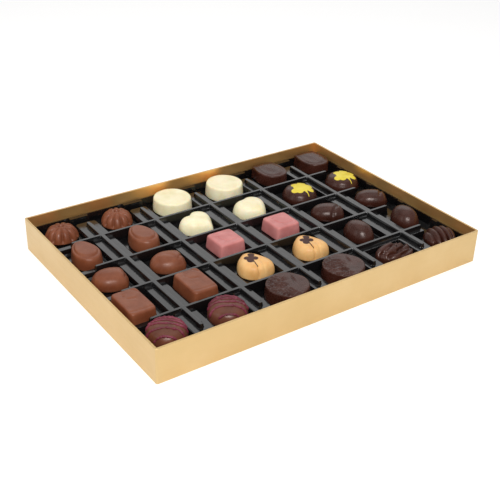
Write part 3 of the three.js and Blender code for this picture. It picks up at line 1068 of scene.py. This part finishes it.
def tallEggBody(copy):
    s = tallEggSet
    bm = spunBody(s["profile"], *s["mesh"])
    mould(bm, egg(*s["size"][:2], s["taper"]), s["size"][2])
    return bm


domeSet = {
    "profile": [
        (0, 0), (0.88, 0), (0.97, 0.04), (1, 0.16), (0.985, 0.42), (0.92, 0.66), (0.79, 0.84), (0.58, 0.94),
        (0.3, 0.99), (0, 1.0)],
    "mesh": (56, 128),
    "radius": 15,
    "height": 14,
    # the drizzle: how far each line is from the middle, and how much of its way it runs
    "lines": (12.5, 11, 9.3, 5.2, 1, -4.5, -11.6),
    "reaches": (1, 1, 1, 1, 1, 1, 0.85),
    "endShare": 0.97,
    "edgeShare": 0.98,
    "steps": 60,
    "across": -0.62,
    "thick": 0.85,
    "lift": 0.1,
    "wave": 1.2,
    "waveScale": 0.16,
    "bendFront": 0.01,
    "bendBack": 0.005,
    "lumps": 0.75,
    "lumpScale": 0.7,
    "endGrowth": 6,
    "endThick": 0.25,
}


def domeBody(copy):
    s = domeSet
    radius, steps = s["radius"], s["steps"]
    bm = spunBody(s["profile"], *s["mesh"])
    mould(bm, ellipse(radius, radius), s["height"])
    top = BVHTree.FromBMesh(bm)
    cosine, sine = math.cos(s["across"]), math.sin(s["across"])
    for line, (offset, reach) in enumerate(zip(s["lines"], s["reaches"])):
        far = reach * math.sqrt((s["endShare"] * radius) ** 2 - offset ** 2)
        bend = s["bendFront"] if offset < 0 else s["bendBack"]
        points, radii = [], []
        for step in range(steps + 1):
            along = far * math.sin((step / steps - 0.5) * math.pi)
            over = offset + s["wave"] * wander(along, line * 4, copy * 9, s["waveScale"], line + copy)
            over -= bend * along * along
            x, y = along * cosine - over * sine, along * sine + over * cosine
            keep = min(1.0, s["edgeShare"] * radius / max(1e-6, math.hypot(x, y)))
            lumps = 1 + s["lumps"] * wander(along, line * 11, copy * 5, s["lumpScale"], line)
            fromEnd = 1 - abs(2 * step / steps - 1)
            ends = min(1.0, s["endGrowth"] * fromEnd + s["endThick"])
            radii.append(s["thick"] * lumps * ends)
            points.append((x * keep, y * keep, levelAt(top, x * keep, y * keep) + s["lift"]))
        addStrand(bm, points, radii, 1)
    return bm


discSet = {
    "profile": [
        (0, 0), (0.97, 0), (1, 0.03), (0.985, 0.4), (0.965, 0.8), (0.955, 0.92), (0.935, 0.98), (0.9, 1.0),
        (0.7, 1.0), (0, 1.0)],
    "mesh": (76, 168),
    "size": (17.2, 17, 12),
    "topFrom": 0.85,
    "edgeWidth": 0.12,
    # the crumpled left part: where it ends, how that border waves, and its share, scale and seed of folds
    "crumple": 1.7,
    "borderX": -1.5,
    "borderWave": 2.0,
    "borderScale": 0.3,
    "borderBlur": 1.1,
    "folds": ((1, 0.3, 11), (0.5, 0.62, 17)),
    "foldSharpness": 2.2,
    "foldShare": 0.62,
    "slit": (6.5, 2.5, 1.0, 4.2),
    "slitDepth": 0.9,
    "slitSlant": 0.25,
    "swell": 0.35,
    "swellScale": (0.33, 0.2),
}


def discBody(copy):
    s = discSet
    bm = spunBody(s["profile"], *s["mesh"])
    slitX, slitY, slitWidth, slitLength = s["slit"]
    swellX, swellY = s["swellScale"]

    def touch(p, share, angle):
        top = topShare(p.z, s["size"][2], s["topFrom"])
        border = s["borderX"] + s["borderWave"] * math.sin(s["borderScale"] * p.y + copy)
        side = 1 / (1 + math.exp((p.x - border) / s["borderBlur"]))
        folds = 0
        for part, scale, seed in s["folds"]:
            folds += part * (1 - s["foldSharpness"] * abs(wander(p.x, p.y, 0, scale, copy + seed)))
        low = -s["crumple"] * (1 - folds * s["foldShare"]) * side
        across = bell(p.x - s["slitSlant"] * p.y, slitX, slitWidth)
        slit = -s["slitDepth"] * across * bell(p.y, slitY, slitLength)
        swell = s["swell"] * math.cos(swellX * p.x - swellY * p.y) * (1 - side)
        edge = min(1.0, (1 - share) / s["edgeWidth"])
        return Vector((p.x, p.y, p.z + top * edge * (low + slit + swell)))

    mould(bm, ellipse(*s["size"][:2]), s["size"][2], touch)
    return bm


swirlSet = {
    "profile": [
        (0, 0), (0.9, 0), (0.98, 0.04), (1, 0.2), (0.98, 0.42), (0.93, 0.58), (0.82, 0.7), (0.64, 0.82),
        (0.42, 0.93), (0.2, 0.99), (0, 1.0)],
    "mesh": (70, 176),
    "size": (16.6, 12, 12),
    "turn": -6,
    "folds": 1.5,
    "twist": 3.0,
    "sway": 0.4,
    "foldFrom": 0.3,
    "foldRise": 0.35,
    "foldPower": 0.6,
    "foldLevel": 0.6,
    "fold": (1.6, 0.55, 0.4),
    "bulge": 0.05,
    "bulgeLevel": 0.5,
    "creaseFoot": 7.0,
    "creases": (
        (((6.7, 7.9), (-0.4, 2.4), (-8.6, -0.2), (-15, 1.1)), 2.6, 1.3),
        (((14, 5.7), (7.3, -3.2), (-2.6, -6.6), (-11, -5.7)), 2.6, 1.3),
        (((15, -1.6), (8.7, -8.4), (-1.8, -10.4)), 1.8, 1.1),
        (((11, 9), (5, 2.4), (0, -1.6)), 1.2, 1.0),
    ),
}


def swirlBody(copy):
    s = swirlSet
    bm = spunBody(s["profile"], *s["mesh"])
    depth, foldAt, foldWidth = s["fold"]

    def touch(p, share, angle):
        high = min(1.0, max(0.0, p.z / s["size"][2] - s["foldFrom"]) / s["foldRise"])
        twist = s["twist"] * (1 - share) + s["sway"] * math.sin(angle * 2)
        fold = abs(math.sin(s["folds"] * (angle + twist))) ** s["foldPower"]
        lift = depth * (fold - s["foldLevel"]) * high * bell(share, foldAt, foldWidth)
        out = 1 + s["bulge"] * (fold - s["bulgeLevel"]) * high
        return Vector((p.x * out, p.y * out, p.z + lift))

    mould(bm, ellipse(*s["size"][:2]), s["size"][2], touch)
    pressCreases(bm, s["creases"], s["turn"], s["creaseFoot"])
    return bm


ribbedSet = {
    "mesh": (110, 96),
    "length": 30,
    "width": 24,
    "height": 11.7,
    "edge": 4.2,
    "below": 1.7,
    "ribs": 5,
    "ribPower": 0.6,
    "ribLevel": 0.6,
    "relief": 0.6,
    "endPower": 0.75,
    "lean": 3.6,
}


def ribbedBody(copy):
    # spun about its long axis, then flattened underneath
    s = ribbedSet
    rings, steps = s["mesh"]
    bm = bmesh.new()
    curve = []
    for ring in range(rings + 1):
        turn = ring / rings * math.pi
        along = -math.cos(turn)
        wave = abs(math.cos(math.pi * s["ribs"] / 2 * along)) ** s["ribPower"] - s["ribLevel"]
        swell = max(0.0, math.sin(turn)) ** s["endPower"] * (1 + s["relief"] * wave * math.sin(turn))
        reach = 0 if ring in (0, rings) else swell
        curve.append(bm.verts.new((along * s["length"] / 2, 0, s["width"] / 2 * reach)))
    spinFull(bm, curve, (1, 0, 0), steps)
    above, below = s["height"] - s["edge"], s["below"] * s["edge"]
    for vert in bm.verts:
        side = vert.co.z / (s["width"] / 2)
        vert.co.z = max(0.0, s["edge"] + side * (above if side > 0 else below))
        vert.co.x += s["lean"] * (vert.co.y / s["width"])
    bmesh.ops.recalc_face_normals(bm, faces=bm.faces)
    return bm


# Each kind: its body, the turn of each copy in degrees, its finishes and the record's slot.
kinds = {
    "milk_fluted": (flutedBody, (0, 12), ("milk",), "milk_chocolate"),
    "white_oval": (ovalBody, (0, 0), ("white",), "white_chocolate"),
    "dark_leaf": (leafBody, (0, 0), ("dark",), "dark_chocolate"),
    "milk_egg": (eggBody, (0, 3), ("milk",), "milk_chocolate"),
    "white_heart": (heartBody, (22, 14), ("white",), "white_chocolate"),
    "dark_round": (roundBody, (0, 0), ("dark", "yellowPrint"), "dark_chocolate"),
    "milk_shell": (
        lambda copy: shellBody("milk", copy), (shellSet["milk"]["turn"],) * 2, ("milk",), "milk_chocolate"),
    "ruby_block": (lambda copy: blockBody("ruby", copy), (0, 0), ("ruby",), "ruby_chocolate"),
    "dark_bean": (
        lambda copy: shellBody("bean", copy), (shellSet["bean"]["turn"],) * 2, ("dark",), "dark_chocolate"),
    "milk_block": (lambda copy: blockBody("milk", copy), (0, 0), ("milk",), "milk_chocolate"),
    "caramel_heart": (caramelBody, (caramelSet["turn"],) * 2, ("caramel", "brownPrint"), "caramel_chocolate"),
    "dark_egg": (tallEggBody, (0, -12), ("dark",), "dark_chocolate"),
    "milk_drizzled": (domeBody, (0, 6), ("dusky", "berryDrizzle"), "milk_chocolate"),
    "dark_disc": (discBody, (0, 0), ("dark",), "dark_chocolate"),
    "dark_swirl": (swirlBody, (swirlSet["turn"],), ("dark",), "dark_chocolate"),
    "dark_ribbed": (ribbedBody, (-8,), ("dark",), "dark_chocolate"),
}


def addPralines():
    finishes = {name: chocolate(name) for name in chocolateSet}
    for kind, (body, turns, names, slot) in kinds.items():
        for copy, turn in enumerate(turns):
            node = f"{kind}_{copy + 1}" if len(turns) > 1 else kind
            seatPraline(node, body(copy), turn, [finishes[name] for name in names], slot)
        print("made", kind)


addCamera()
addLights()
addFloor()
print("stage ready")
addCard()
addTray()
print("box and tray ready")
addPralines()
